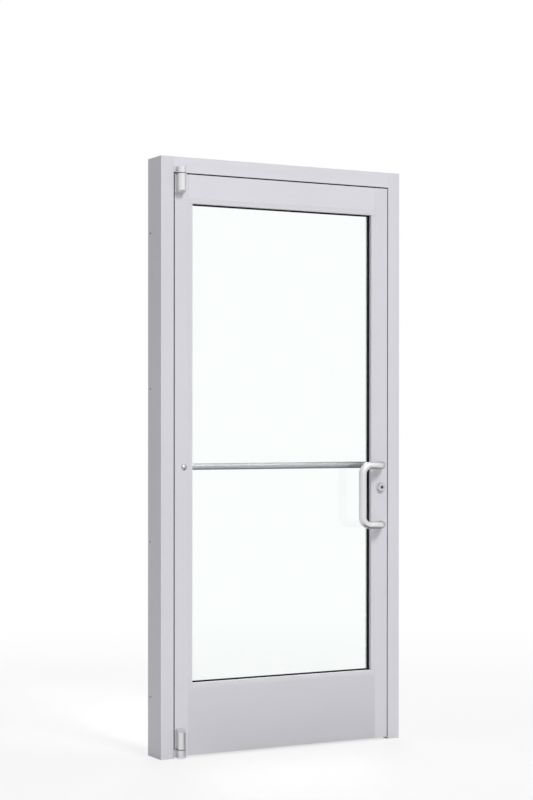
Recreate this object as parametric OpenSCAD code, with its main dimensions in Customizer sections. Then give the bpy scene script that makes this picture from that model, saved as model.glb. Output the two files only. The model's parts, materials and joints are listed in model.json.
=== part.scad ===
// Single-leaf glazed entrance door in a hollow aluminium frame.
// The leaf hangs on offset pivots at its left edge and swings out towards the front.
// Origin: floor level, middle of the frame's width, middle plane of the glass.
// +X to the lock side, +Y to the rear, +Z up, all lengths in millimetres.

/* [Frame] */
// Clear width between the jambs
opening_w = 914.4; // [760:0.1:1220]
// Clear height from the floor to the underside of the header
opening_h = 2133.6; // [1950:0.1:2440]
// Face width of each jamb
jamb_face = 50.8; // [50:0.1:64]
// Face height of the header
header_face = 57.15; // [44:0.05:102]
// Depth of the frame sections from front to rear
frame_depth = 114.3; // [110:0.1:152]
// Wall thickness of the frame sections
frame_wall = 3.2; // [2.6:0.1:4]
// Radius of the outer edges of the frame and leaf sections
edge_r = 0.6; // [0.3:0.1:1]

/* [Frame stop and seal] */
// Distance that the door stop stands into the opening
stop_w = 16; // [14:0.1:20]
// Depth of the door stop from front to rear
stop_d = 22; // [18:0.1:26]
// Wall thickness of the door stop
stop_wall = 1.8; // [1.4:0.1:2.2]
// Depth that the feet of the door stop reach into their grooves
stop_foot = 1.8; // [1:0.1:2]
// Radius of the seal's round bulb
seal_r = 2.6; // [2:0.1:3]
// Distance of the seal's middle from the jamb
seal_in = 7.5; // [7:0.1:8]
// Width of the seal's stem
seal_stem = 2.8; // [2:0.1:3.2]
// Depth of the seal's stem in the stop
seal_deep = 4.8; // [4:0.1:6]
// Free gap between the seal and the rear face of the closed door
seal_gap = 3; // [2.8:0.1:5]

/* [Door leaf] */
// Thickness of the door leaf
door_t = 44.45; // [41:0.05:50]
// Gap between the hinge jamb and the edge of the leaf
hinge_gap = 4; // [3.6:0.1:6]
// Gap between the lock edge and the strike jamb
lock_gap = 3.5; // [3:0.1:5]
// Gap between the header and the top of the leaf
head_gap = 4.8; // [4.6:0.1:8]
// Gap between the floor and the bottom of the leaf
floor_gap = 8; // [7:0.1:16]
// Face width of the stiles
stile_face = 55.5; // [54:0.1:90]
// Face height of the top rail
top_rail_h = 88.9; // [76:0.1:140]
// Face height of the bottom rail
bottom_rail_h = 247; // [160:0.5:300]
// Wall thickness of the stiles and rails
door_wall = 3.2; // [2.6:0.1:4]
// Radius of the tie rods that draw the stiles against the rails
tie_r = 4.76; // [4:0.01:6]
// Distance of each tie rod from the end of its stile
tie_in = 44.45; // [36:0.05:60]
// Height of the tie rods' nuts
nut_h = 8; // [6:0.1:10]
// Width of the tie rods' nuts across their corners
nut_w = 18; // [16:0.1:22]

/* [Edge seals] */
// Width of the brush seals in the edges of the leaf
brush_w = 3; // [2:0.1:4]
// Distance of the brush seals behind the door face
brush_in = 1.2; // [1:0.1:3]
// Width of the foot of the brush seals
brush_foot_w = 5; // [4.4:0.1:6]
// Thickness of the foot of the brush seals
brush_foot_d = 1.2; // [0.8:0.1:1.4]
// Depth of the foot of the brush seals below the edge
brush_lip = 0.8; // [0.6:0.1:1]
// Free gap between the brush seals and the frame
brush_gap = 0.8; // [0.7:0.1:1.5]

/* [Glazing] */
// Thickness of the glass
glass_t = 6; // [5:0.1:8]
// Gap from the glass edge to the stile or rail behind the beads
glass_edge_gap = 6.5; // [5:0.1:8]
// Visible width of the glazing beads
bead_face = 16.5; // [15:0.1:22]
// Wall thickness of the glazing beads
bead_wall = 1.8; // [1.4:0.1:2.2]
// Radius of the bead's front edge
bead_round = 1.2; // [0.4:0.1:1.6]
// Thickness of each gasket between bead and glass
gasket_t = 4.7; // [3.5:0.1:5.5]
// Width of gasket that shows past the bead
gasket_lip = 5; // [1.5:0.1:6]
// Width of gasket that is held behind the bead
gasket_held = 8; // [5:0.1:9]
// Distance of the bead's clip fin behind the door face
fin_d = 8; // [6.5:0.1:8.4]
// Length of the clip fin
fin_len = 6; // [5:0.1:6.5]
// Thickness of the clip fin
fin_wall = 1.8; // [1.4:0.1:2]
// Length of each block that the glass stands on
block_len = 100; // [60:1:150]
// Width of each block that the glass stands on
block_w = 8; // [6:0.1:10]

/* [Pivots] */
// Distance of the pivot axis from the edge of the leaf
pivot_set = 19.05; // [17:0.05:24]
// Distance of the pivot axis in front of the door face
pivot_out = 19.05; // [18:0.05:24]
// Radius of the pivot knuckles
knuckle_r = 15; // [13:0.1:16]
// Height of the door's knuckle where it meets the leaf
arm_h = 73; // [60:0.5:90]
// Height lost to the slanted end of the door's knuckle
arm_bevel = 13; // [6:0.1:20]
// Height of the frame's top knuckle
top_knuckle_h = 22.5; // [18:0.1:30]
// Height of the lower end of the frame's bottom knuckle above the floor
knuckle_rise = 6; // [4:0.1:8]
// Height of the upper end of that knuckle above the floor
bottom_knuckle_h = 34; // [32:0.1:44]
// Gap between the frame's and the door's knuckle
split_gap = 3; // [1.5:0.1:3.2]
// Radius of the pivot pins
pin_r = 6.35; // [5:0.01:7]
// Length of pin inside the door's knuckle
pin_reach = 44; // [30:0.5:50]
// Wall of the pivot bushes
bush_wall = 2.65; // [2:0.05:3.5]
// Width of the bushes' flanges past the wall
bush_lip = 1.4; // [1:0.05:2]
// Thickness of the arm's plate on the door edge
arm_plate_t = 2.5; // [2:0.1:3]
// Depth of the seats of the pivots' plates in the leaf's edge and the jamb
arm_let = 1.6; // [1.2:0.1:1.8]
// Depth of the arm's plate along the door edge
arm_plate_d = 36; // [30:0.5:40]
// Thickness of the top bracket's plate under the header
head_plate_t = 3; // [2.4:0.1:3.2]
// Thickness of the bottom bracket's plate on the jamb
jamb_plate_t = 3; // [2.4:0.1:3.2]
// Length of the top bracket's plate
bracket_len = 84; // [70:0.5:110]
// Depth of the bracket plates behind the door face
bracket_d = 36; // [30:0.5:42]
// Distance of the top bracket's plate behind the door face
bracket_set = 9; // [6:0.1:12]

/* [Pull and push bar] */
// Radius of the push bar's round rod
bar_r = 12.7; // [10:0.05:14]
// Radius of the pull's round rod
pull_r = 14.3; // [11:0.05:15.5]
// Height of the push bar and of the pull's upper foot
bar_z = 1061; // [950:0.5:1150]
// Distance of the feet on the lock stile from the lock edge
foot_set = 34; // [28:0.1:38]
// Distance of the push bar's other foot from the hinge edge
bar_set = 37; // [28:0.1:38]
// Distance between the feet of the pull
pull_pitch = 228.6; // [220:0.1:305]
// Distance of the grip's middle in front of the door face
pull_out = 55.55; // [50:0.05:70]
// Distance of the grip's middle to the hinge side of its feet
pull_aside = 109; // [92:0.1:130]
// Bend radius at the ends of the grip
grip_bend = 32; // [26:0.1:36]
// Distance of the push bar's middle behind the door face
bar_out = 50.8; // [46:0.1:56]
// Bend radius at the ends of the push bar
bar_bend = 38; // [30:0.1:45]
// Radius of the through bolts
bolt_r = 4.76; // [4:0.01:6]
// Depth of the through bolts in the rods' feet
bolt_deep = 20; // [14:0.5:24]
// Radius of the domed bolt heads
dome_r = 11.5; // [8:0.1:13]
// Height of the domed bolt heads
dome_h = 5.2; // [3:0.1:6]

/* [Lock] */
// Distance of the lock cylinder below the push bar
lock_drop = 85; // [70:0.5:105]
// Distance of the lock cylinder from the lock edge
lock_set = 30.2; // [29:0.1:31]
// Radius of the lock cylinder's body
cyl_r = 14.6; // [13:0.05:15]
// Radius of the lock cylinder's head
cyl_head_r = 16.3; // [15.5:0.05:17]
// Height of the lock cylinder's head
cyl_head_h = 4; // [2.5:0.1:5]
// Bevel at the front of the lock cylinder's head
cyl_bevel = 1; // [0.4:0.1:1.8]
// Radius of the collar round the lock cylinder
collar_r = 18.3; // [17.5:0.05:20]
// Height of the collar round the lock cylinder
collar_h = 8; // [5:0.1:10]
// Radius of the key plug
plug_r = 6.35; // [5.5:0.05:7]
// Width of the keyway
keyway_w = 3; // [1.6:0.1:3.2]
// Height of the keyway
keyway_h = 8.5; // [6:0.1:10]
// Depth of the keyway
keyway_deep = 20; // [14:0.5:24]
// Length of the thumb turn
turn_len = 32; // [26:0.5:34]
// Width of the thumb turn
turn_w = 11; // [9:0.1:14]
// Distance that the thumb turn stands out
turn_out = 15; // [13:0.5:20]
// Thickness of the thumb turn's lever
turn_t = 10; // [6:0.1:11]
// Thickness of the deadbolt
dead_t = 12.7; // [10:0.1:14]
// Width of the deadbolt
dead_w = 24; // [20:0.1:25]
// Length of the deadbolt from its pivot
dead_len = 60; // [50:0.5:61]
// Distance of the deadbolt's pivot from the lock edge
dead_set = 14; // [13:0.1:15]
// Distance of the deadbolt's pivot below the lock cylinder
dead_drop = 40; // [36:0.5:42]
// Radius of the deadbolt's pivot
dead_pin_r = 4; // [3:0.05:5]
// Wall of the lock case
case_wall = 4; // [2.5:0.1:5]
// Thickness of the lock case's upper and lower end
case_end = 11; // [10.5:0.1:13]
// Depth of the lock case behind its face plate
case_d = 44; // [43:0.1:44.2]
// Width of the lock's face plate
face_w = 25.4; // [24:0.1:30]
// Length of the lock's face plate
face_len = 156; // [152:0.5:170]
// Thickness of the strike plate
strike_t = 1.6; // [1.2:0.1:2]
// Width of the strike plate
strike_w = 31.75; // [28:0.05:36]
// Length of the strike plate
strike_len = 124; // [112:0.5:140]

/* [Fixings] */
// Radius of the screws' shanks
screw_r = 2.4; // [1.8:0.05:2.8]
// Radius of the screws' heads
screw_head_r = 4.4; // [3.6:0.05:5]
// Height of the screws' heads
screw_head_h = 1.2; // [0.8:0.05:1.4]
// Length of the screws
screw_len = 14; // [10:0.5:18]
// Length of the cross recess in the screws' heads
recess_len = 4.8; // [3:0.1:6]
// Width of the cross recess in the screws' heads
recess_w = 1.1; // [0.8:0.05:1.6]
// Depth of the cross recess in the screws' heads
recess_d = 1.6; // [1:0.1:2.5]
// Radius of the holes for the wall anchors
anchor_r = 4.2; // [3:0.05:5.5]
// Distance of the wall anchors in front of the frame's rear face
anchor_in = 20; // [14:0.1:24]
// Distance between the outer pair of wall anchors on a jamb
anchor_far = 1700; // [1500:1:1760]
// Distance between the inner pair of wall anchors on a jamb
anchor_near = 560; // [400:1:700]
// Distance between the wall anchors of the header
anchor_head = 600; // [400:1:660]

/* [Hidden] */
$fn = 64;

// Radial clearance of a shaft that turns in its hole
run_fit = 0.05;
// Clearance of a bolt or rod in its hole
hole_gap = 0.4;
// Clearance of a piece that sits in a cut-out
seat_gap = 0.2;
// Overshoot of a cutting shape past the face it cuts
cut = 1;
// Side of the barb on a bead's clip
barb = 1;
// Height of the barb on a bead's clip
barb_h = 1.2;
// Clearance of the bead's clip on its fin
snap_gap = 0.15;
// Distance from the split to the arm's plate
arm_plate_z = 3;
// Thickness of the arm's flange in front of the door face
arm_flange_t = 3;
// Distance of an arm's screws from the ends of its plate
arm_screw_in = 11;
// Length of the clips inside the header's ends
clip_len = 44;
// Wall of the clips inside the header's ends
clip_wall = 4;
// Thickness of a cam at the end of a lock cylinder
cam_t = 3;
// Radius of a cam's hub and of its lobe
cam_r = 8;
cam_lobe_r = 12;
// Clearance round the swinging deadbolt
dead_gap = 0.8;
// Clearance between a cam and the middle plane of the leaf
cam_room = 1.5;
// Thread of a tie rod that shows past its nut
tie_over = 4;
// Solid metal past the end of a pin in its frame knuckle
pin_cap = 4;
// Room round the deadbolt's slot in the jamb, behind the strike plate
strike_room = 2;
// Room past the end of a pin in its bush
pin_room = 1;
// Distance of the strike's screws from its ends
strike_screw_in = 9.5;
// Distance of the top bracket's screws from the ends of its plate
bracket_screw_in = 16;
// Distance of the bottom bracket's screws from the ends of its plate
jamb_screw_in = 9;
// Distance of an arm's screws behind the door face
arm_screw_back = 24;
// Radius of the thumb turn's spindle
spindle_r = 5;

alu = [0.84, 0.84, 0.86];
steel = [0.74, 0.75, 0.77];
black = [0.06, 0.06, 0.07];
clear = [0.85, 0.92, 0.92, 0.3];
bronze = [0.62, 0.47, 0.28];

// Frame planes
frame_h = opening_h + header_face;
y_front = -door_t / 2;
y_back = door_t / 2;
y_frame_rear = y_front + frame_depth;
x_hinge = -opening_w / 2;
x_strike = opening_w / 2;
y_stop = y_back + seal_gap + 2 * seal_r;
y_anchor = y_frame_rear - anchor_in;
z_anchor = opening_h / 2;

// Leaf planes
leaf_x0 = x_hinge + hinge_gap;
leaf_x1 = x_strike - lock_gap;
leaf_z0 = floor_gap;
leaf_z1 = opening_h - head_gap;
leaf_h = leaf_z1 - leaf_z0;
day_x0 = leaf_x0 + stile_face;
day_x1 = leaf_x1 - stile_face;
day_w = day_x1 - day_x0;
day_z0 = leaf_z0 + bottom_rail_h;
day_z1 = leaf_z1 - top_rail_h;
day_h = day_z1 - day_z0;
bead_d = door_t / 2 - glass_t / 2 - gasket_t;

// Pivot axis and the planes where the knuckles part
px = leaf_x0 + pivot_set;
py = y_front - pivot_out;
top_split = opening_h - head_plate_t - split_gap;
bottom_split = bottom_knuckle_h + split_gap;
bush_r = pin_r + bush_wall;

// Feet of the rods
foot_hinge = leaf_x0 + bar_set;
foot_lock = leaf_x1 - foot_set;
grip_x = foot_lock - pull_aside;
pull_z = bar_z - pull_pitch;

// Lock
lock_z = bar_z - lock_drop;
lock_x = leaf_x1 - lock_set;
dead_x = leaf_x1 - dead_set;
dead_z = lock_z - dead_drop;
dead_sweep = norm([dead_len, dead_w / 2]) + dead_gap;
slot_w = dead_t + 2 * dead_gap;
case_t = slot_w + 2 * case_wall;
case_x1 = leaf_x1 - door_wall;
case_z0 = dead_z - dead_sweep - case_end;
case_z1 = lock_z + cyl_r + case_end;
face_z = (case_z0 + case_z1) / 2;
slot_z0 = dead_z - dead_sweep;
slot_z1 = dead_z + dead_w / 2 + 2 * dead_gap;
cyl_end = cam_t + cam_room;

// Rectangle with round corners from [0, 0] to [w, d]
module round_square(w, d, r) {
  translate([r, 0]) square([w - 2 * r, d]);
  translate([0, r]) square([w, d - 2 * r]);
  for (x = [r, w - r])
    for (y = [r, d - r]) translate([x, y]) circle(r = r);
}

// Hollow rectangular section from [0, 0] to [w, d]
module box_section(w, d, wall) {
  difference() {
    round_square(w, d, edge_r);
    translate([wall, wall]) square([w - 2 * wall, d - 2 * wall]);
  }
}

// Round bar along X, Y or Z from the point at
module rod_x(at, r, len) translate(at) rotate([0, 90, 0]) cylinder(r = r, h = len);
module rod_y(at, r, len) translate(at) rotate([-90, 0, 0]) cylinder(r = r, h = len);
module rod_z(at, r, len) translate(at) cylinder(r = r, h = len);

// Flat-headed screw along +Z with the top of its head at z = 0
module screw() {
  difference() {
    union() {
      cylinder(r = screw_head_r, h = screw_head_h);
      cylinder(r = screw_r, h = screw_len);
    }
    for (turn = [0, 90]) rotate([0, 0, turn])
      translate([-recess_len / 2, -recess_w / 2, -cut]) cube([recess_len, recess_w, recess_d + cut]);
  }
}

// Room for that screw in the piece that its head sits in
module screw_seat(plate) {
  translate([0, 0, -cut]) cylinder(r = screw_head_r + seat_gap, h = screw_head_h + cut);
  translate([0, 0, -cut]) cylinder(r = screw_r + seat_gap, h = plate + 2 * cut);
}

// Hole for that screw's thread in the piece behind
module screw_hole(at, turn) {
  translate(at) rotate(turn) translate([0, 0, -cut]) cylinder(r = screw_r + seat_gap, h = screw_len + cut);
}

// A quarter of a bent rod in the XY plane, from start degrees on, about the origin
module rod_bend(r, bend, start) {
  rotate([0, 0, start]) rotate_extrude(angle = 90) translate([bend, 0]) circle(r = r);
}

// The same bend in the XZ plane
module rod_bend_up(r, bend, start) rotate([90, 0, 0]) rod_bend(r, bend, start);

// Low dome on a bolt, its flat side on z = 0
module dome() {
  ball = (dome_r * dome_r + dome_h * dome_h) / (2 * dome_h);
  rotate_extrude() intersection() {
    translate([0, dome_h - ball]) circle(r = ball);
    square([dome_r, dome_h]);
  }
}

// Outer frame

// Holes of one jamb's wall anchors, right through its two walls
module anchor_holes(x0) {
  for (pitch = [anchor_far, anchor_near])
    for (end = [-1, 1])
      rod_x([x0 - cut, y_anchor, z_anchor + end * pitch / 2], anchor_r, jamb_face + 2 * cut);
}

// Hollow frame section: its opening side on u = 0 has two grooves for the feet of a door stop
module frame_section(face) {
  difference() {
    translate([-face, y_front]) box_section(face, frame_depth, frame_wall);
    for (v = [0, stop_d - stop_wall])
      translate([-stop_foot - seat_gap, y_stop + v - seat_gap])
        square([stop_foot + seat_gap + cut, stop_wall + 2 * seat_gap]);
  }
}

// Jamb with its opening side on the plane x = 0 and its body towards -X
module jamb_blank() {
  difference() {
    linear_extrude(frame_h) frame_section(jamb_face);
    for (row = [-1, 1])
      screw_hole([frame_wall - screw_len + clip_wall, clip_y(row), clip_z], [0, 90, 0]);
  }
}

module hinge_jamb() {
  color(alu) difference() {
    translate([x_hinge, 0, 0]) jamb_blank();
    anchor_holes(x_hinge - jamb_face);
    jamb_seat();
    at_jamb_screws() screw_hole([0, 0, 0], [0, 0, 0]);
  }
}

module strike_jamb() {
  color(alu) difference() {
    translate([x_strike, 0, 0]) mirror([1, 0, 0]) jamb_blank();
    anchor_holes(x_strike);
    bolt_slot(x_strike - cut, frame_wall + 2 * cut, strike_room);
    at_strike_screws() screw_hole([0, 0, 0], [0, 0, 0]);
  }
}

// Header with the screw holes of the top pivot and its own two wall anchors
module header() {
  color(alu) difference() {
    translate([x_hinge, 0, opening_h]) rotate([0, 90, 0])
      linear_extrude(opening_w) frame_section(header_face);
    for (end = [-1, 1])
      rod_z([end * anchor_head / 2, y_anchor, opening_h - cut], anchor_r, header_face + 2 * cut);
    for (at = bracket_screws) screw_hole([at[0], at[1], opening_h - head_plate_t], [0, 0, 0]);
  }
}

// Hollow door stop: u runs into the opening, v to the rear, with a slot for the seal
module stop_section() {
  pocket = seal_stem + 2 * seat_gap;
  difference() {
    union() {
      translate([-stop_foot, 0]) square([stop_foot + stop_w, stop_wall]);
      translate([-stop_foot, stop_d - stop_wall]) square([stop_foot + stop_w, stop_wall]);
      translate([stop_w - stop_wall, 0]) square([stop_wall, stop_d]);
      translate([seal_in - pocket / 2 - stop_wall, 0])
        square([pocket + 2 * stop_wall, seal_deep + seat_gap + stop_wall]);
    }
    translate([seal_in - pocket / 2, -cut]) square([pocket, seal_deep + seat_gap + cut]);
  }
}

// Bulb seal: round bulb in front of the stop and a flat stem in its slot
module seal_section() {
  translate([seal_in, -seal_r]) circle(r = seal_r);
  translate([seal_in - seal_stem / 2, -seal_r]) square([seal_stem, seal_r + seal_deep]);
}

// A section placed along the hinge jamb, the strike jamb or the header
module along_hinge() translate([x_hinge, y_stop, 0]) linear_extrude(opening_h) children();
module along_strike() {
  translate([x_strike, y_stop, 0]) mirror([1, 0, 0]) linear_extrude(opening_h) children();
}
module along_head() {
  translate([x_hinge + stop_w, y_stop, opening_h]) rotate([0, 90, 0])
    linear_extrude(opening_w - 2 * stop_w) children();
}

module hinge_stop() color(alu) along_hinge() stop_section();
module strike_stop() color(alu) along_strike() stop_section();
module head_stop() color(alu) along_head() stop_section();
module hinge_seal() color(black) along_hinge() seal_section();
module strike_seal() color(black) along_strike() seal_section();
module head_seal() color(black) along_head() seal_section();

// Clips in the header's ends, screwed to the jambs; one also takes the top pivot's screws
clip_z = opening_h + header_face / 2;
clip_w = frame_depth - 2 * frame_wall - 2 * seat_gap;
clip_hi = header_face - 2 * frame_wall - 2 * seat_gap;
function clip_y(row) = y_front + frame_depth / 2 + row * clip_w / 4;

module clip() {
  translate([0, y_front + frame_wall + seat_gap, opening_h + frame_wall + seat_gap]) difference() {
    cube([clip_len, clip_w, clip_hi]);
    translate([clip_wall, -cut, clip_wall]) cube([clip_len, clip_w + 2 * cut, clip_hi - 2 * clip_wall]);
    for (row = [-1, 1])
      translate([-cut, clip_w / 2 + row * clip_w / 4, clip_hi / 2]) rotate([0, 90, 0])
        cylinder(r = screw_r + seat_gap, h = clip_wall + 2 * cut);
  }
}

module header_clips() {
  color(alu) {
    difference() {
      translate([x_hinge, 0, 0]) clip();
      for (at = bracket_screws) screw_hole([at[0], at[1], opening_h - head_plate_t], [0, 0, 0]);
    }
    translate([x_strike, 0, 0]) mirror([1, 0, 0]) clip();
  }
}

module clip_screws() {
  for (row = [-1, 1])
    translate([clip_wall + screw_head_h, clip_y(row), clip_z]) rotate([0, -90, 0]) screw();
}

module header_clip_screws() {
  color(steel) {
    translate([x_hinge, 0, 0]) clip_screws();
    translate([x_strike, 0, 0]) mirror([1, 0, 0]) clip_screws();
  }
}

// Strike plate with the slot that the deadbolt swings into
strike_z = (slot_z0 + slot_z1) / 2;
strike_pitch = strike_len - 2 * strike_screw_in;

module bolt_slot(x0, len, room = 0) {
  translate([x0, -slot_w / 2 - room, slot_z0 - room])
    cube([len, slot_w + 2 * room, slot_z1 - slot_z0 + 2 * room]);
}

module at_strike_screws() {
  for (end = [-1, 1])
    translate([x_strike - strike_t, 0, strike_z + end * strike_pitch / 2]) rotate([0, 90, 0]) children();
}

module strike_plate() {
  color(steel) difference() {
    translate([x_strike - strike_t, -strike_w / 2, strike_z - strike_len / 2])
      cube([strike_t, strike_w, strike_len]);
    bolt_slot(x_strike - strike_t - cut, strike_t + 2 * cut);
    at_strike_screws() screw_seat(strike_t);
  }
}

module strike_plate_screws() color(steel) at_strike_screws() screw();

// Pivots

// Places a piece of the bottom pivot, or the same piece upside down at the top
module at_bottom_pivot() translate([px, py, bottom_split]) children();
module at_top_pivot() translate([px, py, top_split]) mirror([0, 0, 1]) children();

// Knuckle outline: round in front, flat flanks back to the door face
module knuckle_outline(back) {
  circle(r = knuckle_r);
  translate([-knuckle_r, 0]) square([2 * knuckle_r, back]);
}

// Screws of an arm's plate into the door edge, along +X, from the plate's outer side
arm_plate_h = arm_h - 2 * arm_plate_z;
arm_plate_x = arm_let - pivot_set - arm_plate_t;
arm_screw_y = pivot_out + arm_screw_back;
module at_arm_screws() {
  for (z = [arm_plate_z + arm_screw_in, arm_plate_z + arm_plate_h - arm_screw_in])
    translate([arm_plate_x, arm_screw_y, z]) rotate([0, 90, 0]) children();
}

// Door's half of a pivot, standing on the split at z = 0 with the axis at the origin
module pivot_arm() {
  difference() {
    union() {
      linear_extrude(arm_h) knuckle_outline(pivot_out);
      translate([arm_plate_x, pivot_out - arm_flange_t, arm_plate_z])
        cube([arm_plate_t, arm_flange_t + arm_plate_d, arm_plate_h]);
      translate([arm_plate_x, pivot_out - arm_flange_t, arm_plate_z])
        cube([-arm_plate_x, arm_flange_t, arm_plate_h]);
    }
    translate([-knuckle_r - cut, 0, 0]) rotate([90, 0, 90]) linear_extrude(2 * knuckle_r + 2 * cut)
      polygon([[pivot_out - arm_flange_t, arm_h], [-knuckle_r - cut, arm_h - arm_bevel],
               [-knuckle_r - cut, arm_h + cut], [pivot_out - arm_flange_t, arm_h + cut]]);
    rod_z([0, 0, -cut], bush_r + run_fit, pin_reach + pin_room + cut);
    at_arm_screws() screw_seat(arm_plate_t);
  }
}

// Flanged bush in the door's half; its flange lies in the gap of the split
module pivot_bush() {
  difference() {
    union() {
      rod_z([0, 0, 0], bush_r, pin_reach);
      rod_z([0, 0, -split_gap + 2 * run_fit], bush_r + bush_lip, split_gap - 2 * run_fit);
    }
    rod_z([0, 0, -split_gap - cut], pin_r + run_fit, pin_reach + split_gap + 2 * cut);
  }
}

module top_pivot_arm() color(alu) at_top_pivot() pivot_arm();
module bottom_pivot_arm() color(alu) at_bottom_pivot() pivot_arm();
module top_pivot_bush() color(bronze) at_top_pivot() pivot_bush();
module bottom_pivot_bush() color(bronze) at_bottom_pivot() pivot_bush();
module top_pivot_arm_screws() color(steel) at_top_pivot() at_arm_screws() screw();
module bottom_pivot_arm_screws() color(steel) at_bottom_pivot() at_arm_screws() screw();

// Pivot pin: sits in the frame's knuckle below the split and reaches into the bush
module pivot_pin(root) rod_z([0, 0, -split_gap - root], pin_r, root + split_gap + pin_reach - pin_room);

// Depth of each pin in its frame knuckle
jamb_half_h = bottom_knuckle_h - knuckle_rise;
top_pin_root = top_knuckle_h - pin_cap;
bottom_pin_root = jamb_half_h - pin_cap;
module top_pivot_pin() color(steel) at_top_pivot() pivot_pin(top_pin_root);
module bottom_pivot_pin() color(steel) at_bottom_pivot() pivot_pin(bottom_pin_root);

// Top bracket: a knuckle in front of the header on a plate screwed under it
bracket_screws = [for (x = [bracket_screw_in, bracket_len - bracket_screw_in])
  [px - knuckle_r + x, y_front + (bracket_set + bracket_d) / 2]];
module top_pivot_bracket() {
  z0 = opening_h - head_plate_t;
  color(alu) difference() {
    union() {
      translate([px, py, z0]) linear_extrude(top_knuckle_h) knuckle_outline(pivot_out);
      translate([px - knuckle_r, y_front, z0]) cube([2 * knuckle_r, bracket_d, head_plate_t]);
      translate([px - knuckle_r, y_front + bracket_set, z0])
        cube([bracket_len, bracket_d - bracket_set, head_plate_t]);
    }
    rod_z([px, py, z0 - cut], pin_r + run_fit, top_pin_root + cut);
    for (at = bracket_screws) translate([at[0], at[1], z0]) screw_seat(head_plate_t);
  }
}

module top_pivot_bracket_screws() {
  color(steel) for (at = bracket_screws) translate([at[0], at[1], opening_h - head_plate_t]) screw();
}

// Bottom bracket: a knuckle in front of the leaf on a plate let into the jamb
jamb_plate_x = x_hinge - arm_let;
module at_jamb_screws() {
  for (back = [jamb_screw_in, bracket_d - jamb_screw_in])
    translate([jamb_plate_x + jamb_plate_t, y_front + back, knuckle_rise + jamb_half_h / 2])
      rotate([0, -90, 0]) children();
}

module bottom_pivot_bracket() {
  y0 = y_front - hole_gap - arm_flange_t;
  color(alu) difference() {
    union() {
      translate([px, py, knuckle_rise]) linear_extrude(jamb_half_h) {
        circle(r = knuckle_r);
        translate([-knuckle_r, 0]) square([knuckle_r, pivot_out - hole_gap]);
      }
      translate([jamb_plate_x, y0, knuckle_rise]) cube([px - jamb_plate_x, arm_flange_t, jamb_half_h]);
      translate([jamb_plate_x, y0, knuckle_rise]) cube([jamb_plate_t, y_front + bracket_d - y0, jamb_half_h]);
    }
    rod_z([px, py, bottom_knuckle_h - bottom_pin_root], pin_r + run_fit, bottom_pin_root + cut);
    at_jamb_screws() screw_seat(jamb_plate_t);
  }
}

module bottom_pivot_bracket_screws() color(steel) at_jamb_screws() screw();

// Seat for that plate in the hinge jamb
module jamb_seat() {
  translate([jamb_plate_x, y_front - cut, knuckle_rise - seat_gap])
    cube([arm_let + cut, bracket_d + seat_gap + cut, jamb_half_h + 2 * seat_gap]);
}

// Door leaf

// Hollow stile or rail: its glass side on x = 0, its body towards -X, front face on y = 0
module leaf_section(face) translate([-face, 0]) box_section(face, door_t, door_wall);

// The pair of fins on the glass side that the beads clip over
module fin_section() {
  for (d = [fin_d, door_t - fin_d - fin_wall]) translate([0, d]) square([fin_len, fin_wall]);
}

// Upright and level placings; z = 0 of the section's length is at the first end
module upright_hinge(z0, len) translate([day_x0, y_front, z0]) linear_extrude(len) children();
module upright_lock(z0, len) {
  translate([day_x1, y_front, z0]) mirror([1, 0, 0]) linear_extrude(len) children();
}
module level_top() translate([day_x0, y_front, day_z1]) rotate([0, 90, 0]) linear_extrude(day_w) children();
module level_bottom() {
  translate([day_x0, y_front, day_z0]) mirror([0, 0, 1]) rotate([0, 90, 0])
    linear_extrude(day_w) children();
}

// Heights of the tie rods, and their holes in the glass side of a stile
tie_z = [leaf_z0 + tie_in, leaf_z1 - tie_in];
module tie_holes(x) {
  for (z = tie_z)
    rod_x([x - door_wall - cut, 0, z], tie_r + hole_gap, 2 * door_wall + 2 * cut);
}

// Brush seal in an edge of the leaf: u runs out of the edge, v from the door face to the rear
module brush_section(gap) {
  translate([-brush_lip - brush_foot_d, brush_in]) square([brush_foot_d, brush_foot_w]);
  translate([-brush_lip - brush_foot_d, brush_in])
    square([brush_lip + brush_foot_d + gap - brush_gap, brush_w]);
}

// Undercut groove that holds that seal
module brush_groove() {
  translate([-brush_lip - brush_foot_d - seat_gap, brush_in - seat_gap])
    square([brush_foot_d + 2 * seat_gap, brush_foot_w + 2 * seat_gap]);
  translate([-brush_lip, brush_in - seat_gap]) square([brush_lip + cut, brush_w + 2 * seat_gap]);
}

// Seat for a pivot arm's plate in the edge of the hinge stile
module arm_seat() {
  translate([-pivot_set - cut, pivot_out - cut, arm_plate_z - seat_gap])
    cube([arm_let + cut, arm_plate_d + seat_gap + cut, arm_plate_h + 2 * seat_gap]);
}

// A section placed along the hinge edge between the pivot arms, the lock edge or the top rail
brush_z0 = bottom_split + arm_h;
brush_z1 = top_split - arm_h;
module along_hinge_edge() {
  translate([leaf_x0, y_front, brush_z0]) mirror([1, 0, 0]) linear_extrude(brush_z1 - brush_z0) children();
}
module along_lock_edge() translate([leaf_x1, y_front, leaf_z0]) linear_extrude(leaf_h) children();
module along_top_edge() {
  translate([day_x1, y_front, leaf_z1]) rotate([0, -90, 0]) linear_extrude(day_w) children();
}

module hinge_edge_seal() color(black) along_hinge_edge() brush_section(hinge_gap);
module lock_edge_seal() color(black) along_lock_edge() brush_section(lock_gap);
module top_edge_seal() color(black) along_top_edge() brush_section(head_gap);

// Hole right through the leaf for a through bolt
module bolt_hole(x, z) rod_y([x, y_front - cut, z], bolt_r + hole_gap, door_t + 2 * cut);

side_bead_z0 = day_z0 + bead_face + seat_gap;
side_bead_len = day_h - 2 * bead_face - 2 * seat_gap;

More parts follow.
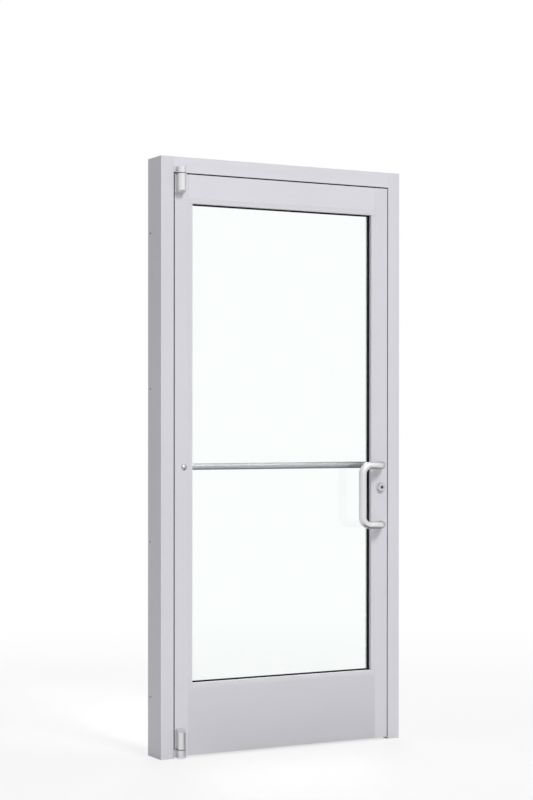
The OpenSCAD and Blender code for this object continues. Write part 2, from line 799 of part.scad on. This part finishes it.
module hinge_stile() {
  color(alu) difference() {
    union() {
      upright_hinge(leaf_z0, leaf_h) leaf_section(stile_face);
      upright_hinge(side_bead_z0, side_bead_len) fin_section();
    }
    along_hinge_edge() brush_groove();
    tie_holes(day_x0);
    bolt_hole(foot_hinge, bar_z);
    at_top_pivot() {
      arm_seat();
      at_arm_screws() screw_hole([0, 0, 0], [0, 0, 0]);
    }
    at_bottom_pivot() {
      arm_seat();
      at_arm_screws() screw_hole([0, 0, 0], [0, 0, 0]);
    }
  }
}

module lock_stile() {
  color(alu) difference() {
    union() {
      upright_lock(leaf_z0, leaf_h) leaf_section(stile_face);
      upright_lock(side_bead_z0, side_bead_len) fin_section();
    }
    along_lock_edge() brush_groove();
    tie_holes(day_x1);
    for (z = [bar_z, pull_z]) bolt_hole(foot_lock, z);
    rod_y([lock_x, y_front - cut, lock_z], cyl_r + hole_gap, door_t + 2 * cut);
    translate([case_x1 - cut, -face_w / 2 - seat_gap, face_z - face_len / 2 - seat_gap])
      cube([door_wall + 2 * cut, face_w + 2 * seat_gap, face_len + 2 * seat_gap]);
  }
}

module top_rail() {
  color(alu) difference() {
    level_top() {
      leaf_section(top_rail_h);
      fin_section();
    }
    along_top_edge() brush_groove();
  }
}

// The tall bottom rail has a stiffening web across the middle of its hollow
module bottom_rail() {
  color(alu) level_bottom() {
    leaf_section(bottom_rail_h);
    fin_section();
    translate([-bottom_rail_h / 2 - door_wall / 2, door_wall / 2]) square([door_wall, door_t - door_wall]);
  }
}

tie_end = door_wall + nut_h + tie_over;
module tie_rods() {
  color(steel) for (z = tie_z) rod_x([day_x0 - tie_end, 0, z], tie_r, day_w + 2 * tie_end);
}

module tie_rod_nuts() {
  color(steel) for (z = tie_z)
    for (x = [day_x0 - door_wall - nut_h, day_x1 + door_wall])
      translate([x, 0, z]) rotate([0, 90, 0]) difference() {
        cylinder(r = nut_w / 2, h = nut_h, $fn = 6);
        translate([0, 0, -cut]) cylinder(r = tie_r + run_fit, h = nut_h + 2 * cut);
      }
}

// Glazing

module glass_pane() {
  color(clear) translate([day_x0 + glass_edge_gap, -glass_t / 2, day_z0 + glass_edge_gap])
    cube([day_w - 2 * glass_edge_gap, glass_t, day_h - 2 * glass_edge_gap]);
}

// Hollow clip-in bead: s runs from stile to glass, d from the door face inwards
module bead_section() {
  catch_s = fin_len + snap_gap;
  difference() {
    union() {
      square([bead_face, bead_wall]);
      square([bead_wall, fin_d]);
      translate([bead_face - bead_wall, 0]) square([bead_wall, bead_d]);
      translate([catch_s, bead_d - bead_wall]) square([bead_face - catch_s, bead_wall]);
      translate([catch_s, fin_d - barb_h]) square([bead_wall, bead_d - fin_d + barb_h]);
      translate([catch_s - barb - snap_gap, fin_d + fin_wall])
        square([barb + snap_gap + bead_wall, barb_h]);
    }
    translate([bead_face - bead_round, bead_round]) difference() {
      translate([0, -bead_round - cut]) square([bead_round + cut, bead_round + cut]);
      circle(r = bead_round);
    }
  }
}

module outer_top_bead() color(alu) level_top() bead_section();
module outer_bottom_bead() color(alu) level_bottom() bead_section();
module outer_hinge_bead() color(alu) upright_hinge(side_bead_z0, side_bead_len) bead_section();
module outer_lock_bead() color(alu) upright_lock(side_bead_z0, side_bead_len) bead_section();
module inner_top_bead() color(alu) mirror([0, 1, 0]) outer_top_bead();
module inner_bottom_bead() color(alu) mirror([0, 1, 0]) outer_bottom_bead();
module inner_hinge_bead() color(alu) mirror([0, 1, 0]) outer_hinge_bead();
module inner_lock_bead() color(alu) mirror([0, 1, 0]) outer_lock_bead();

// Wedge gasket: s runs from stile to glass, its slanted lip shows past the bead
module gasket_section() {
  s0 = bead_face - gasket_held;
  s1 = bead_face + gasket_lip;
  polygon([[s0, 0], [bead_face, 0], [s1, gasket_t / 2], [s1, gasket_t], [s0, gasket_t]]);
}

// One mitred length of gasket along +Z, from corner to corner of the daylight opening
module gasket_length(len) {
  difference() {
    linear_extrude(len) gasket_section();
    for (end = [0, 1]) translate([0, -cut, end * len]) mirror([0, 0, end]) rotate([0, -45, 0])
      translate([0, 0, -2 * bead_face - 2 * gasket_lip])
        cube([2 * (bead_face + gasket_lip), gasket_t + 2 * cut, 2 * bead_face + 2 * gasket_lip]);
  }
}

module outer_gasket() {
  color(black) translate([0, -glass_t / 2 - gasket_t, 0]) {
    translate([day_x0, 0, day_z0]) gasket_length(day_h);
    translate([day_x1, 0, day_z0]) mirror([1, 0, 0]) gasket_length(day_h);
    translate([day_x0, 0, day_z1]) rotate([0, 90, 0]) gasket_length(day_w);
    translate([day_x0, 0, day_z0]) mirror([0, 0, 1]) rotate([0, 90, 0]) gasket_length(day_w);
  }
}

module inner_gasket() color(black) mirror([0, 1, 0]) outer_gasket();

// Two blocks that carry the glass on the bottom rail, at its quarter points
module setting_blocks() {
  color(black) for (side = [-1, 1])
    translate([(day_x0 + day_x1) / 2 + side * day_w / 4 - block_len / 2, -block_w / 2, day_z0])
      cube([block_len, block_w, glass_edge_gap]);
}

// Pull and push bar

// Blind hole in a rod's foot for a through bolt, into the door's front (-1) or rear (1) side
module foot_hole(x, z, side) {
  y0 = side < 0 ? y_front - bolt_deep - cut : y_back - cut;
  rod_y([x, y0, z], bolt_r + run_fit, bolt_deep + 2 * cut);
}

module pull_handle() {
  grip_y = y_front - pull_out;
  color(alu) difference() {
    union() {
      for (z = [bar_z, pull_z]) {
        translate([foot_lock - pull_out, y_front, z]) rod_bend(pull_r, pull_out, -90);
        rod_x([grip_x + grip_bend, grip_y, z], pull_r, pull_aside - pull_out - grip_bend);
      }
      translate([grip_x + grip_bend, grip_y, bar_z - grip_bend]) rod_bend_up(pull_r, grip_bend, 90);
      translate([grip_x + grip_bend, grip_y, pull_z + grip_bend]) rod_bend_up(pull_r, grip_bend, 180);
      rod_z([grip_x, grip_y, pull_z + grip_bend], pull_r, pull_pitch - 2 * grip_bend);
    }
    for (z = [bar_z, pull_z]) foot_hole(foot_lock, z, -1);
  }
}

// Upper stud joins the pull to the push bar; the lower bolt has a domed head at the rear
module pull_bolts() {
  color(steel) {
    rod_y([foot_lock, y_front - bolt_deep, bar_z], bolt_r, door_t + 2 * bolt_deep);
    rod_y([foot_lock, y_front - bolt_deep, pull_z], bolt_r, door_t + bolt_deep);
    translate([foot_lock, y_back, pull_z]) rotate([-90, 0, 0]) dome();
  }
}

module push_bar() {
  lead = bar_out - bar_bend;
  color(alu) difference() {
    union() {
      for (x = [foot_hinge, foot_lock]) rod_y([x, y_back, bar_z], bar_r, lead);
      translate([foot_hinge + bar_bend, y_back + lead, bar_z]) rod_bend(bar_r, bar_bend, 90);
      translate([foot_lock - bar_bend, y_back + lead, bar_z]) rod_bend(bar_r, bar_bend, 0);
      rod_x([foot_hinge + bar_bend, y_back + bar_out, bar_z], bar_r,
        foot_lock - foot_hinge - 2 * bar_bend);
    }
    for (x = [foot_hinge, foot_lock]) foot_hole(x, bar_z, 1);
  }
}

module push_bar_bolt() {
  color(steel) {
    rod_y([foot_hinge, y_front, bar_z], bolt_r, door_t + bolt_deep);
    translate([foot_hinge, y_front, bar_z]) rotate([90, 0, 0]) dome();
  }
}

// Lock

// Case with a pocket for the swinging bolt, its pivot, and room for both cylinders
module lock_case() {
  color(steel) {
    difference() {
      translate([case_x1 - case_d, -case_t / 2, case_z0]) cube([case_d, case_t, case_z1 - case_z0]);
      translate([dead_x - dead_w / 2 - dead_gap, -slot_w / 2, slot_z0])
        cube([case_d, slot_w, slot_z1 - slot_z0]);
      rod_y([lock_x, -case_t / 2 - cut, lock_z], cyl_r + run_fit, case_t + 2 * cut);
      for (end = [-1, 1]) screw_hole([leaf_x1, 0, face_z + end * face_pitch / 2], [0, -90, 0]);
    }
    rod_y([dead_x, -slot_w / 2, dead_z], dead_pin_r, slot_w);
  }
}

face_pitch = case_z1 - case_z0 - case_end;
module at_face_screws() {
  for (end = [-1, 1]) translate([leaf_x1, 0, face_z + end * face_pitch / 2]) rotate([0, -90, 0]) children();
}

module lock_faceplate() {
  color(steel) difference() {
    translate([case_x1, -face_w / 2, face_z - face_len / 2]) cube([door_wall, face_w, face_len]);
    bolt_slot(case_x1 - cut, door_wall + 2 * cut);
    at_face_screws() screw_seat(door_wall);
  }
}

module lock_faceplate_screws() color(steel) at_face_screws() screw();

// Cylinder body with its head on the collar, along +Y from the head's front at y = 0
module cylinder_body(plug_fit) {
  len = collar_h + cyl_head_h + door_t / 2 - cyl_end;
  difference() {
    rotate([-90, 0, 0]) rotate_extrude() polygon([
      [0, 0], [cyl_head_r - cyl_bevel, 0], [cyl_head_r, cyl_bevel], [cyl_head_r, cyl_head_h],
      [cyl_r, cyl_head_h], [cyl_r, len], [0, len]]);
    rod_y([0, -cut, 0], plug_fit + run_fit, len + 2 * cut);
  }
}

// Cam at the inner end of a plug or spindle, its lobe upwards, along +Y from y = 0
module cam() {
  rod_y([0, 0, 0], cam_r, cam_t);
  intersection() {
    rod_y([0, 0, 0], cam_lobe_r, cam_t);
    translate([-cam_r / 2, 0, 0]) cube([cam_r, cam_t, cam_lobe_r]);
  }
}

// Both cylinders are built from the front; the inner one is turned round to the rear
module at_front_cylinder() translate([lock_x, y_front - collar_h - cyl_head_h, lock_z]) children();
module at_rear_cylinder() mirror([0, 1, 0]) at_front_cylinder() children();
cyl_depth = collar_h + cyl_head_h + door_t / 2;

module outer_cylinder() color(steel) at_front_cylinder() cylinder_body(plug_r);
module inner_cylinder() color(steel) at_rear_cylinder() cylinder_body(spindle_r);

// Tapered collars between the cylinder heads and the stile
module collar() {
  rotate([-90, 0, 0]) rotate_extrude() polygon([
    [cyl_r + hole_gap, cyl_head_h], [cyl_head_r, cyl_head_h], [collar_r, cyl_head_h + collar_h / 2],
    [collar_r, cyl_head_h + collar_h], [cyl_r + hole_gap, cyl_head_h + collar_h]]);
}

module cylinder_collars() {
  color(alu) {
    at_front_cylinder() collar();
    at_rear_cylinder() collar();
  }
}

module key_plug() {
  len = cyl_depth - cyl_end;
  color(steel) at_front_cylinder() difference() {
    union() {
      rod_y([0, -run_fit, 0], plug_r, len + 4 * run_fit);
      translate([0, len + 3 * run_fit, 0]) cam();
    }
    translate([-keyway_w / 2, -cut, -keyway_h / 2]) cube([keyway_w, keyway_deep + cut, keyway_h]);
  }
}

// Thumb turn: a flat lever with round ends on a spindle
module thumbturn() {
  len = cyl_depth - cyl_end;
  color(steel) at_rear_cylinder() {
    rod_y([0, turn_t / 2 - turn_out, 0], spindle_r, len + turn_out - turn_t / 2 + 4 * run_fit);
    translate([0, len + 3 * run_fit, 0]) cam();
    translate([0, turn_t - turn_out, 0]) rotate([90, 0, 0]) linear_extrude(turn_t) {
      for (end = [-1, 1]) translate([0, end * (turn_len - turn_w) / 2]) circle(r = turn_w / 2);
      square([turn_w, turn_len - turn_w], center = true);
    }
  }
}

// Deadbolt: hangs from its pivot in the case and swings out through the face plate
module deadbolt() {
  color(steel) translate([dead_x, 0, dead_z]) rotate([90, 0, 0])
    linear_extrude(dead_t, center = true) difference() {
      union() {
        circle(r = dead_w / 2);
        translate([-dead_w / 2, -dead_len]) square([dead_w, dead_len]);
      }
      circle(r = dead_pin_r + run_fit);
    }
}

hinge_jamb();
strike_jamb();
header();
hinge_stop();
strike_stop();
head_stop();
hinge_seal();
strike_seal();
head_seal();
header_clips();
header_clip_screws();
top_pivot_bracket();
top_pivot_pin();
top_pivot_bracket_screws();
bottom_pivot_bracket();
bottom_pivot_pin();
bottom_pivot_bracket_screws();
strike_plate();
strike_plate_screws();
hinge_stile();
lock_stile();
top_rail();
bottom_rail();
tie_rods();
tie_rod_nuts();
glass_pane();
outer_top_bead();
outer_bottom_bead();
outer_hinge_bead();
outer_lock_bead();
inner_top_bead();
inner_bottom_bead();
inner_hinge_bead();
inner_lock_bead();
outer_gasket();
inner_gasket();
setting_blocks();
pull_handle();
pull_bolts();
push_bar();
push_bar_bolt();
hinge_edge_seal();
lock_edge_seal();
top_edge_seal();
top_pivot_arm();
top_pivot_bush();
top_pivot_arm_screws();
bottom_pivot_arm();
bottom_pivot_bush();
bottom_pivot_arm_screws();
lock_case();
lock_faceplate();
lock_faceplate_screws();
outer_cylinder();
inner_cylinder();
cylinder_collars();
deadbolt();
key_plug();
thumbturn();
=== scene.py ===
# Looks of a glazed entrance door: finishes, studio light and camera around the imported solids.
import json
import math

import bpy
from mathutils import Matrix, Vector


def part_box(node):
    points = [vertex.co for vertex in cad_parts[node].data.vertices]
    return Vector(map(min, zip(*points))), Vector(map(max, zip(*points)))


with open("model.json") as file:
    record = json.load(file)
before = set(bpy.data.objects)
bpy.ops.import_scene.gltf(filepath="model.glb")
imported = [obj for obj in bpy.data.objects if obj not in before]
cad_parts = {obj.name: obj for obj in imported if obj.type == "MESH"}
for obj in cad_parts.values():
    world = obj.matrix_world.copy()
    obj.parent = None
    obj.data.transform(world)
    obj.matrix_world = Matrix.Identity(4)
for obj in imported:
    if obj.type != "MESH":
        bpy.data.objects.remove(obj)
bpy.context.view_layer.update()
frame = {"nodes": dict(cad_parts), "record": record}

record = frame["record"]

# Camera: place in metres, angles in degrees; image height, focal length and principal row in pixels
CAMERA_AT = Vector((-3.24898, -5.98103, 1.20977))
CAMERA_YAW = 28.0407
CAMERA_PITCH = -0.3132
CAMERA_ROLL = 0.0354
IMAGE_H = 800
FOCAL_PX = 1808.63
PRINCIPAL_ROW = 436.35
SENSOR_MM = 36.0

# Soft lamps: place and size in metres, power in watts; both point at the middle of the door
LAMP_TARGET = (0.0, 0.0, 1.1)
KEY_AT = (1.5, -16.0, 15.5)
KEY_SIZE = 5.4
KEY_POWER = 2540.0
REAR_AT = (3.5, 8.5, 7.5)
REAR_SIZE = 4.5
REAR_POWER = 450.0

# World: its light on the object, where 1 is the white that shows behind it
WORLD_LEVEL = 0.38
WHITE = (1.0, 1.0, 1.0, 1.0)

# Floor: size in metres, and how much of it shows as white near the object and far from it
FLOOR_SIZE = 60.0
FLOOR_COLOUR = (0.86, 0.86, 0.86, 1.0)
FLOOR_GLOW_NEAR = 0.68
FLOOR_GLOW_FAR = 1.0
FLOOR_FADE_FROM = 0.8
FLOOR_FADE_TO = 5.0

# Dark card over the floor for reflections: its middle, half its size and the share that is fully dark
FLAG_AT = (0.6, 0.0, 0.001)
FLAG_HALF = (1.2, 1.4)
FLAG_CORE = 0.6
FLAG_COLOUR = (0.05, 0.05, 0.05, 1.0)

# Colours of the finishes, linear, each between a dark and a light tone
ALUMINIUM_LIGHT = (0.680, 0.675, 0.715, 1.0)
ALUMINIUM_DARK = (0.640, 0.635, 0.675, 1.0)
FITTING_LIGHT = (0.76, 0.76, 0.78, 1.0)
FITTING_DARK = (0.70, 0.70, 0.72, 1.0)
BAR_LIGHT = (0.42, 0.42, 0.44, 1.0)
BAR_DARK = (0.36, 0.36, 0.38, 1.0)
DOME_LIGHT = (0.48, 0.48, 0.50, 1.0)
DOME_DARK = (0.42, 0.42, 0.44, 1.0)
PLUG_LIGHT = (0.12, 0.12, 0.12, 1.0)
PLUG_DARK = (0.08, 0.08, 0.08, 1.0)
STEEL_LIGHT = (0.62, 0.62, 0.64, 1.0)
STEEL_DARK = (0.52, 0.52, 0.54, 1.0)
# Bronze of the pivot bushes: partly the dark tone of oiled bronze, partly painted shade, darker still so
# that the split between the knuckles shows as a dark gap
SHADED_BRONZE_LIGHT = (0.18, 0.12, 0.06, 1.0)
SHADED_BRONZE_DARK = (0.12, 0.08, 0.04, 1.0)
RUBBER_LIGHT = (0.010, 0.010, 0.011, 1.0)
RUBBER_DARK = (0.005, 0.005, 0.006, 1.0)
GLASS_TINT = (0.955, 0.985, 0.975, 1.0)

# Roughness of the finishes, each between two values
ANODISED_ROUGH = (0.38, 0.50)
FITTING_ROUGH = (0.28, 0.38)
BAR_ROUGH = (0.24, 0.34)
DOME_ROUGH = (0.20, 0.30)
PLUG_ROUGH = (0.30, 0.42)
STEEL_ROUGH = (0.26, 0.38)
BRONZE_ROUGH = (0.30, 0.42)
RUBBER_ROUGH = (0.55, 0.75)

# Share of metal in a finish, what it keeps of its shine at a glancing angle, and the shine of the rest;
# rails and header mirror more of the floor than uprights and beads
ANODISED_METAL = 0.06
RAIL_METAL = 0.30
FITTING_METAL = 0.80
SATIN_METAL = 0.85
ANODISED_EDGE = 0.6
SATIN_EDGE = 0.25
SOFT_SHINE = 0.12

# Noise: the range that is used, and scales per metre of brushed lines, clouds, rubber and glass
NOISE_LOW = 0.3
NOISE_HIGH = 0.7
FINE = 700.0
ALONG = 1.5
LINES_UPRIGHT = (FINE, FINE, ALONG)
LINES_LEVEL = (ALONG, FINE, FINE)
LINES_EVEN = (FINE, FINE, FINE)
EVEN = (1.0, 1.0, 1.0)
CLOUD_SCALE = 3.0
RUBBER_SCALE = 900.0
WAVE_SCALE = 2.5
WAVE_DETAIL = 1.0

# Depth of the relief in metres
LINE_DEPTH = 0.00001
RUBBER_DEPTH = 0.00008
WAVE_DEPTH = 0.00002

GLASS_IOR = 1.5


def material(name):
    """A new node material, its tree and its main shader."""
    mat = bpy.data.materials.new(name)
    mat.use_nodes = True
    return mat, mat.node_tree, mat.node_tree.nodes["Principled BSDF"]


def noise(tree, stretch, scale, detail=4.0):
    """Noise over the object's own coordinates, stretched by a scale per axis."""
    coords = tree.nodes.new("ShaderNodeTexCoord")
    mapping = tree.nodes.new("ShaderNodeMapping")
    mapping.inputs["Scale"].default_value = stretch
    texture = tree.nodes.new("ShaderNodeTexNoise")
    texture.inputs["Scale"].default_value = scale
    texture.inputs["Detail"].default_value = detail
    tree.links.new(coords.outputs["Object"], mapping.inputs["Vector"])
    tree.links.new(mapping.outputs["Vector"], texture.inputs["Vector"])
    return texture.outputs["Fac"]


def average(tree, a, b):
    """The mean of two values."""
    total = tree.nodes.new("ShaderNodeMath")
    total.operation = "ADD"
    half = tree.nodes.new("ShaderNodeMath")
    half.operation = "MULTIPLY"
    half.inputs[1].default_value = 0.5
    tree.links.new(a, total.inputs[0])
    tree.links.new(b, total.inputs[1])
    tree.links.new(total.outputs["Value"], half.inputs[0])
    return half.outputs["Value"]


def tint(tree, shader, value, dark, light):
    """Base colour between dark and light over the used range of a noise."""
    ramp = tree.nodes.new("ShaderNodeValToRGB")
    ramp.color_ramp.elements[0].position = NOISE_LOW
    ramp.color_ramp.elements[1].position = NOISE_HIGH
    ramp.color_ramp.elements[0].color = dark
    ramp.color_ramp.elements[1].color = light
    tree.links.new(value, ramp.inputs["Fac"])
    tree.links.new(ramp.outputs["Color"], shader.inputs["Base Color"])


def roughen(tree, shader, value, low, high):
    """Roughness between low and high over the used range of a noise."""
    node = tree.nodes.new("ShaderNodeMapRange")
    node.inputs["From Min"].default_value = NOISE_LOW
    node.inputs["From Max"].default_value = NOISE_HIGH
    node.inputs["To Min"].default_value = low
    node.inputs["To Max"].default_value = high
    tree.links.new(value, node.inputs["Value"])
    tree.links.new(node.outputs["Result"], shader.inputs["Roughness"])


def relief(tree, shader, value, depth):
    """Bump of a depth in metres."""
    bump = tree.nodes.new("ShaderNodeBump")
    bump.inputs["Strength"].default_value = 1.0
    bump.inputs["Distance"].default_value = depth
    tree.links.new(value, bump.inputs["Height"])
    tree.links.new(bump.outputs["Normal"], shader.inputs["Normal"])


def mix_surface(tree, share, first, second):
    """Makes the surface a mix of two shaders: share is how much the second one counts."""
    mix = tree.nodes.new("ShaderNodeMixShader")
    tree.links.new(share, mix.inputs["Fac"])
    tree.links.new(first, mix.inputs[1])
    tree.links.new(second, mix.inputs[2])
    tree.links.new(mix.outputs["Shader"], tree.nodes["Material Output"].inputs["Surface"])


def metal(name, dark, light, lines, rough, share=1.0, edge=1.0):
    """Metal with cloudy tone and fine lines.

    lines is the noise scale along X, Y and Z, share is the share of metal, and edge is what it
    keeps of its shine at a glancing angle.
    """
    mat, tree, shader = material(name)
    brushed = noise(tree, lines, 1.0)
    clouds = noise(tree, EVEN, CLOUD_SCALE)
    tint(tree, shader, average(tree, brushed, clouds), dark, light)
    roughen(tree, shader, brushed, *rough)
    relief(tree, shader, brushed, LINE_DEPTH)
    shader.inputs["Metallic"].default_value = share
    shader.inputs["Specular Tint"].default_value = (edge, edge, edge, 1.0)
    shader.inputs["Specular IOR Level"].default_value = SOFT_SHINE
    return mat


def rubber():
    """Matt black rubber with a fine grain."""
    mat, tree, shader = material("black_rubber")
    grain = noise(tree, EVEN, RUBBER_SCALE)
    tint(tree, shader, grain, RUBBER_DARK, RUBBER_LIGHT)
    roughen(tree, shader, grain, *RUBBER_ROUGH)
    relief(tree, shader, grain, RUBBER_DEPTH)
    shader.inputs["Specular IOR Level"].default_value = SOFT_SHINE
    return mat


def glass():
    """Clear float glass with a faint waviness, which throws no shadow."""
    mat, tree, shader = material("clear_glass")
    shader.inputs["Base Color"].default_value = GLASS_TINT
    shader.inputs["Transmission Weight"].default_value = 1.0
    shader.inputs["Roughness"].default_value = 0.0
    shader.inputs["IOR"].default_value = GLASS_IOR
    shader.inputs["Specular IOR Level"].default_value = SOFT_SHINE
    relief(tree, shader, noise(tree, EVEN, WAVE_SCALE, WAVE_DETAIL), WAVE_DEPTH)
    path = tree.nodes.new("ShaderNodeLightPath")
    clear = tree.nodes.new("ShaderNodeBsdfTransparent")
    mix_surface(tree, path.outputs["Is Shadow Ray"], shader.outputs["BSDF"], clear.outputs["BSDF"])
    return mat


# Finishes by material slot, or by node where a node has its own
FINISHES = {
    "upright": metal("anodised_upright", ALUMINIUM_DARK, ALUMINIUM_LIGHT, LINES_UPRIGHT,
                     ANODISED_ROUGH, ANODISED_METAL, ANODISED_EDGE),
    "level": metal("anodised_level", ALUMINIUM_DARK, ALUMINIUM_LIGHT, LINES_LEVEL,
                   ANODISED_ROUGH, RAIL_METAL, ANODISED_EDGE),
    "level_bead": metal("anodised_bead", ALUMINIUM_DARK, ALUMINIUM_LIGHT, LINES_LEVEL,
                        ANODISED_ROUGH, ANODISED_METAL, ANODISED_EDGE),
    "satin_aluminium": metal("satin_aluminium", FITTING_DARK, FITTING_LIGHT, LINES_EVEN,
                             FITTING_ROUGH, FITTING_METAL, SATIN_EDGE),
    "push_bar": metal("satin_bar", BAR_DARK, BAR_LIGHT, LINES_LEVEL,
                      BAR_ROUGH, SATIN_METAL, SATIN_EDGE),
    "push_bar_bolt": metal("polished_bolt", DOME_DARK, DOME_LIGHT, LINES_EVEN,
                           DOME_ROUGH, edge=SATIN_EDGE),
    "key_plug": metal("dark_plug", PLUG_DARK, PLUG_LIGHT, LINES_EVEN,
                      PLUG_ROUGH, SATIN_METAL, SATIN_EDGE),
    "satin_steel": metal("satin_steel", STEEL_DARK, STEEL_LIGHT, LINES_EVEN,
                         STEEL_ROUGH, SATIN_METAL, SATIN_EDGE),
    # the bush bronze is darkened beyond its own colour as painted shade for the split gap between the
    # knuckles
    "bronze": metal("bearing_bronze_painted_gap_shade", SHADED_BRONZE_DARK, SHADED_BRONZE_LIGHT, LINES_EVEN, BRONZE_ROUGH),
    "black_rubber": rubber(),
    "clear_glass": glass(),
}


def finish_for(node, slot):
    """The finish of a node: extrusions take the one whose lines run along their length."""
    if slot != "anodised_aluminium":
        return FINISHES.get(node, FINISHES[slot])
    low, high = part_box(node)
    if high[2] - low[2] > high[0] - low[0]:
        return FINISHES["upright"]
    return FINISHES["level_bead" if node.endswith("_bead") else "level"]


def seen_directly(tree):
    """1 for rays from the camera, off shiny surfaces and through glass, else 0."""
    path = tree.nodes.new("ShaderNodeLightPath")
    total = path.outputs["Is Camera Ray"]
    for name in ("Is Glossy Ray", "Is Transmission Ray"):
        node = tree.nodes.new("ShaderNodeMath")
        node.operation = "MAXIMUM"
        tree.links.new(total, node.inputs[0])
        tree.links.new(path.outputs[name], node.inputs[1])
        total = node.outputs["Value"]
    return total


def fade_out(tree, near, far, at_near, at_far):
    """A value that changes softly with the distance from the object's own middle."""
    coords = tree.nodes.new("ShaderNodeTexCoord")
    reach = tree.nodes.new("ShaderNodeVectorMath")
    reach.operation = "LENGTH"
    fade = tree.nodes.new("ShaderNodeMapRange")
    fade.interpolation_type = "SMOOTHSTEP"
    fade.inputs["From Min"].default_value = near
    fade.inputs["From Max"].default_value = far
    fade.inputs["To Min"].default_value = at_near
    fade.inputs["To Max"].default_value = at_far
    tree.links.new(coords.outputs["Object"], reach.inputs[0])
    tree.links.new(reach.outputs["Value"], fade.inputs["Value"])
    return fade.outputs["Result"]


def studio_world():
    """Even soft light, which shows as plain white behind the object."""
    world = bpy.data.worlds.new("studio")
    world.use_nodes = True
    tree = world.node_tree
    background = tree.nodes["Background"]
    background.inputs["Color"].default_value = WHITE
    level = tree.nodes.new("ShaderNodeMapRange")
    level.inputs["To Min"].default_value = WORLD_LEVEL
    level.inputs["To Max"].default_value = 1.0
    tree.links.new(seen_directly(tree), level.inputs["Value"])
    tree.links.new(level.outputs["Result"], background.inputs["Strength"])
    bpy.context.scene.world = world


def matt_square(name, half, colour):
    """A level square with a plain matt material, and its material's tree and shader."""
    mesh = bpy.data.meshes.new(name)
    corners = [(-half, -half, 0), (half, -half, 0), (half, half, 0), (-half, half, 0)]
    mesh.from_pydata(corners, [], [(0, 1, 2, 3)])
    square = bpy.data.objects.new(name, mesh)
    bpy.context.collection.objects.link(square)
    mat, tree, shader = material(name)
    shader.inputs["Base Color"].default_value = colour
    shader.inputs["Roughness"].default_value = 1.0
    shader.inputs["Specular IOR Level"].default_value = 0.0
    mesh.materials.append(mat)
    return square, tree, shader


def studio_floor():
    """Pale floor that keeps the object's shadow and is lifted towards white where it is seen."""
    _, tree, shader = matt_square("floor", FLOOR_SIZE / 2, FLOOR_COLOUR)
    glow = tree.nodes.new("ShaderNodeEmission")
    share = tree.nodes.new("ShaderNodeMath")
    share.operation = "MULTIPLY"
    glow_share = fade_out(tree, FLOOR_FADE_FROM, FLOOR_FADE_TO, FLOOR_GLOW_NEAR, FLOOR_GLOW_FAR)
    tree.links.new(seen_directly(tree), share.inputs[0])
    tree.links.new(glow_share, share.inputs[1])
    mix_surface(tree, share.outputs["Value"], shader.outputs["BSDF"], glow.outputs["Emission"])


def floor_flag():
    """A dark card over the floor that only shiny surfaces see, so that rods keep a dark underside."""
    flag, tree, shader = matt_square("floor_flag", 1.0, FLAG_COLOUR)
    flag.location = FLAG_AT
    flag.scale = (*FLAG_HALF, 1.0)
    clear = tree.nodes.new("ShaderNodeBsdfTransparent")
    clear_share = fade_out(tree, FLAG_CORE, 1.0, 0.0, 1.0)
    mix_surface(tree, clear_share, shader.outputs["BSDF"], clear.outputs["BSDF"])
    flag.visible_camera = False
    flag.visible_diffuse = False
    flag.visible_transmission = False
    flag.visible_shadow = False


def soft_box(name, at, size, power):
    """A square area lamp that points at the door."""
    lamp = bpy.data.lights.new(name, "AREA")
    lamp.size = size
    lamp.energy = power
    obj = bpy.data.objects.new(name, lamp)
    obj.location = at
    obj.rotation_euler = (Vector(LAMP_TARGET) - Vector(at)).to_track_quat("-Z", "Y").to_euler()
    bpy.context.collection.objects.link(obj)


def photo_camera():
    """Camera at the photograph's place and angle."""
    yaw = math.radians(CAMERA_YAW)
    pitch = math.radians(CAMERA_PITCH)
    roll = math.radians(CAMERA_ROLL)
    ahead = Vector((math.sin(yaw), math.cos(yaw), 0))
    aside = Vector((math.cos(yaw), -math.sin(yaw), 0))
    up = Vector((0, 0, 1))
    forward = ahead * math.cos(pitch) + up * math.sin(pitch)
    above = up * math.cos(pitch) - ahead * math.sin(pitch)
    right = aside * math.cos(roll) + above * math.sin(roll)
    top = above * math.cos(roll) - aside * math.sin(roll)
    data = bpy.data.cameras.new("camera")
    data.sensor_width = SENSOR_MM
    data.lens = FOCAL_PX / IMAGE_H * SENSOR_MM
    data.shift_y = (PRINCIPAL_ROW - IMAGE_H / 2) / IMAGE_H
    data.clip_end = 2 * FLOOR_SIZE
    camera = bpy.data.objects.new("camera", data)
    turn = Matrix((right, top, -forward)).transposed().to_4x4()
    camera.matrix_world = Matrix.Translation(CAMERA_AT) @ turn
    bpy.context.collection.objects.link(camera)
    bpy.context.scene.camera = camera


for part in record["subparts"]:
    finish = finish_for(part["node"], part["material_slot"])
    for slot in frame["nodes"][part["node"]].material_slots:
        slot.material = finish

studio_world()
studio_floor()
floor_flag()
soft_box("key", KEY_AT, KEY_SIZE, KEY_POWER)
soft_box("rear", REAR_AT, REAR_SIZE, REAR_POWER)
photo_camera()
bpy.context.scene.view_settings.view_transform = "Standard"
